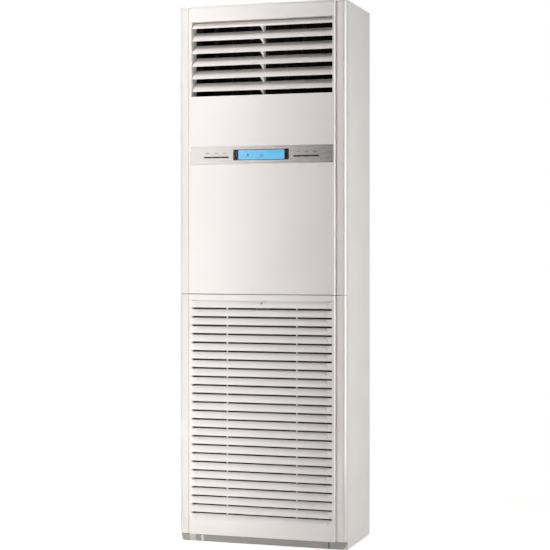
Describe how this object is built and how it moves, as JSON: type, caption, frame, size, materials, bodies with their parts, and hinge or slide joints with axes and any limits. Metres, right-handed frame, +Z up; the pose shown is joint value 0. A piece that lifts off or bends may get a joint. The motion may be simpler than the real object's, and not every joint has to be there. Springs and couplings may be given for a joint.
{
  "type": "floor standing air conditioner",
  "caption": "Tall indoor air conditioner cabinet: slatted inlet door with filter and lock, key band with display, linked tilting louvres over swinging vanes, centrifugal blower and coil.",
  "frame": {"origin": "on the floor, under the middle of the cabinet's box", "axes": "+Z up, the front with the outlet, keys and inlet faces -Y, +X on the right of a person who looks at the front"},
  "size_m": [0.6, 0.325, 1.85],
  "materials": {
    "panel_plastic": "gloss, warm white",
    "painted_sheet": "satin powder coat",
    "display_band": "brushed",
    "display_glass": "clear lens over a blue screen",
    "board": "coated circuit board",
    "key_cap": "satin",
    "base_grey": "textured",
    "base_steel": "satin",
    "dark_plastic": "matt",
    "white_plastic": "satin",
    "lock_metal": "plated",
    "filter_net": "woven net in a moulded frame",
    "galvanised": "galvanised",
    "wheel_plastic": "glass filled",
    "motor_steel": "satin black",
    "shaft_steel": "ground",
    "fin_aluminium": "mill",
    "pipe_copper": "bright copper",
    "nut_brass": "machined",
    "grommet_rubber": "matt",
    "screw_steel": "zinc plated",
    "foam": "closed cell foam"
  },
  "bodies": {
    "cabinet": {"base_pan": "base_steel", "kick_plate": "base_grey", "side_panel_left": "painted_sheet", "side_panel_right": "painted_sheet", "rear_panel": "painted_sheet", "top_cover": "white_plastic", "partition_plate": "galvanised", "duct_front_plate": "galvanised", "corner_trim_left": "panel_plastic", "corner_trim_right": "panel_plastic", "upper_front_panel": "panel_plastic", "outlet_frame": "white_plastic", "vane_carrier": "dark_plastic", "swing_motor": "dark_plastic", "display_bezel": "display_band", "display_window": "display_glass", "display_board": "board", "blower_motor": "motor_steel", "motor_bracket": "galvanised", "scroll_casing": "galvanised", "inlet_bell": "galvanised", "evaporator_fins": "fin_aluminium", "evaporator_tubes": "pipe_copper", "evaporator_plates": "galvanised", "drain_pan": "white_plastic", "refrigerant_pipes": "pipe_copper", "flare_nuts": "nut_brass", "electrical_box": "galvanised", "electrical_cover": "galvanised", "main_board": "board", "terminal_block": "dark_plastic", "cable_grommet": "grommet_rubber", "cabinet_screws": "screw_steel", "duct_insulation": "foam"},
    "louvre_1": {"louvre_1": "panel_plastic"},
    "louvre_2": {"louvre_2": "panel_plastic"},
    "louvre_3": {"louvre_3": "panel_plastic"},
    "louvre_4": {"louvre_4": "panel_plastic"},
    "louvre_5": {"louvre_5": "panel_plastic"},
    "louvre_6": {"louvre_6": "panel_plastic"},
    "vane_1": {"vane_1": "dark_plastic"},
    "vane_2": {"vane_2": "dark_plastic"},
    "vane_3": {"vane_3": "dark_plastic"},
    "vane_4": {"vane_4": "dark_plastic"},
    "vane_5": {"vane_5": "dark_plastic"},
    "vane_6": {"vane_6": "dark_plastic"},
    "vane_7": {"vane_7": "dark_plastic"},
    "button_1": {"button_1": "key_cap"},
    "button_2": {"button_2": "key_cap"},
    "button_3": {"button_3": "key_cap"},
    "button_4": {"button_4": "key_cap"},
    "button_5": {"button_5": "key_cap"},
    "button_6": {"button_6": "key_cap"},
    "louvre_link": {"louvre_link": "white_plastic"},
    "vane_link": {"vane_link": "dark_plastic"},
    "inlet_grille": {"inlet_grille": "panel_plastic"},
    "grille_lock": {"grille_lock": "lock_metal"},
    "air_filter": {"air_filter": "filter_net"},
    "blower": {"blower_wheel": "wheel_plastic", "blower_shaft": "shaft_steel"}
  },
  "joints": [
    {"name": "louvre_1_tilt", "type": "hinge", "parent": "cabinet", "child": "louvre_1", "pos_m": [0, -0.135, 1.7904], "axis": [-1, 0, 0], "range_deg": [0, 34]},
    {"name": "louvre_2_tilt", "type": "hinge", "parent": "cabinet", "child": "louvre_2", "pos_m": [0, -0.135, 1.7468], "axis": [-1, 0, 0], "range_deg": [0, 34]},
    {"name": "louvre_3_tilt", "type": "hinge", "parent": "cabinet", "child": "louvre_3", "pos_m": [0, -0.135, 1.7032], "axis": [-1, 0, 0], "range_deg": [0, 34]},
    {"name": "louvre_4_tilt", "type": "hinge", "parent": "cabinet", "child": "louvre_4", "pos_m": [0, -0.135, 1.6596], "axis": [-1, 0, 0], "range_deg": [0, 34]},
    {"name": "louvre_5_tilt", "type": "hinge", "parent": "cabinet", "child": "louvre_5", "pos_m": [0, -0.135, 1.616], "axis": [-1, 0, 0], "range_deg": [0, 34]},
    {"name": "louvre_6_tilt", "type": "hinge", "parent": "cabinet", "child": "louvre_6", "pos_m": [0, -0.135, 1.5724], "axis": [-1, 0, 0], "range_deg": [0, 34]},
    {"name": "louvre_link_swing", "type": "hinge", "parent": "louvre_1", "child": "louvre_link", "pos_m": [0, -0.106, 1.7944], "axis": [-1, 0, 0], "range_deg": [-34, 0]},
    {"name": "vane_1_swing", "type": "hinge", "parent": "cabinet", "child": "vane_1", "pos_m": [-0.192, -0.07, 1.68], "axis": [0, 0, 1], "range_deg": [-35, 35]},
    {"name": "vane_2_swing", "type": "hinge", "parent": "cabinet", "child": "vane_2", "pos_m": [-0.128, -0.07, 1.68], "axis": [0, 0, 1], "range_deg": [-35, 35]},
    {"name": "vane_3_swing", "type": "hinge", "parent": "cabinet", "child": "vane_3", "pos_m": [-0.064, -0.07, 1.68], "axis": [0, 0, 1], "range_deg": [-35, 35]},
    {"name": "vane_4_swing", "type": "hinge", "parent": "cabinet", "child": "vane_4", "pos_m": [0, -0.07, 1.68], "axis": [0, 0, 1], "range_deg": [-35, 35]},
    {"name": "vane_5_swing", "type": "hinge", "parent": "cabinet", "child": "vane_5", "pos_m": [0.064, -0.07, 1.68], "axis": [0, 0, 1], "range_deg": [-35, 35]},
    {"name": "vane_6_swing", "type": "hinge", "parent": "cabinet", "child": "vane_6", "pos_m": [0.128, -0.07, 1.68], "axis": [0, 0, 1], "range_deg": [-35, 35]},
    {"name": "vane_7_swing", "type": "hinge", "parent": "cabinet", "child": "vane_7", "pos_m": [0.192, -0.07, 1.68], "axis": [0, 0, 1], "range_deg": [-35, 35]},
    {"name": "vane_link_swing", "type": "hinge", "parent": "vane_1", "child": "vane_link", "pos_m": [-0.192, -0.055, 1.5305], "axis": [0, 0, 1], "range_deg": [-35, 35]},
    {"name": "button_1_press", "type": "slide", "parent": "cabinet", "child": "button_1", "axis": [0, 1, 0], "range_m": [0, 0.001], "stiffness_N_per_m": 300, "springref_m": -0.001},
    {"name": "button_2_press", "type": "slide", "parent": "cabinet", "child": "button_2", "axis": [0, 1, 0], "range_m": [0, 0.001], "stiffness_N_per_m": 300, "springref_m": -0.001},
    {"name": "button_3_press", "type": "slide", "parent": "cabinet", "child": "button_3", "axis": [0, 1, 0], "range_m": [0, 0.001], "stiffness_N_per_m": 300, "springref_m": -0.001},
    {"name": "button_4_press", "type": "slide", "parent": "cabinet", "child": "button_4", "axis": [0, 1, 0], "range_m": [0, 0.001], "stiffness_N_per_m": 300, "springref_m": -0.001},
    {"name": "button_5_press", "type": "slide", "parent": "cabinet", "child": "button_5", "axis": [0, 1, 0], "range_m": [0, 0.001], "stiffness_N_per_m": 300, "springref_m": -0.001},
    {"name": "button_6_press", "type": "slide", "parent": "cabinet", "child": "button_6", "axis": [0, 1, 0], "range_m": [0, 0.001], "stiffness_N_per_m": 300, "springref_m": -0.001},
    {"name": "inlet_grille_tilt", "type": "hinge", "parent": "cabinet", "child": "inlet_grille", "pos_m": [0, -0.1545, 0.045], "axis": [1, 0, 0], "range_deg": [0, 35]},
    {"name": "grille_lock_turn", "type": "hinge", "parent": "inlet_grille", "child": "grille_lock", "pos_m": [0.002, -0.1525, 0.8275], "axis": [0, -1, 0], "range_deg": [0, 90]},
    {"name": "air_filter_lift", "type": "slide", "parent": "inlet_grille", "child": "air_filter", "axis": [0, 0, 1], "range_m": [0, 0.022]},
    {"name": "blower_spin", "type": "hinge", "parent": "cabinet", "child": "blower", "pos_m": [0, 0.04, 0.43], "axis": [0, 1, 0], "continuous": true}
  ],
  "couplings": [
    {"joint": "louvre_2_tilt", "follows": "louvre_1_tilt", "ratio": 1},
    {"joint": "louvre_3_tilt", "follows": "louvre_1_tilt", "ratio": 1},
    {"joint": "louvre_4_tilt", "follows": "louvre_1_tilt", "ratio": 1},
    {"joint": "louvre_5_tilt", "follows": "louvre_1_tilt", "ratio": 1},
    {"joint": "louvre_6_tilt", "follows": "louvre_1_tilt", "ratio": 1},
    {"joint": "louvre_link_swing", "follows": "louvre_1_tilt", "ratio": -1},
    {"joint": "vane_2_swing", "follows": "vane_1_swing", "ratio": 1},
    {"joint": "vane_3_swing", "follows": "vane_1_swing", "ratio": 1},
    {"joint": "vane_4_swing", "follows": "vane_1_swing", "ratio": 1},
    {"joint": "vane_5_swing", "follows": "vane_1_swing", "ratio": 1},
    {"joint": "vane_6_swing", "follows": "vane_1_swing", "ratio": 1},
    {"joint": "vane_7_swing", "follows": "vane_1_swing", "ratio": 1},
    {"joint": "vane_link_swing", "follows": "vane_1_swing", "ratio": -1}
  ]
}
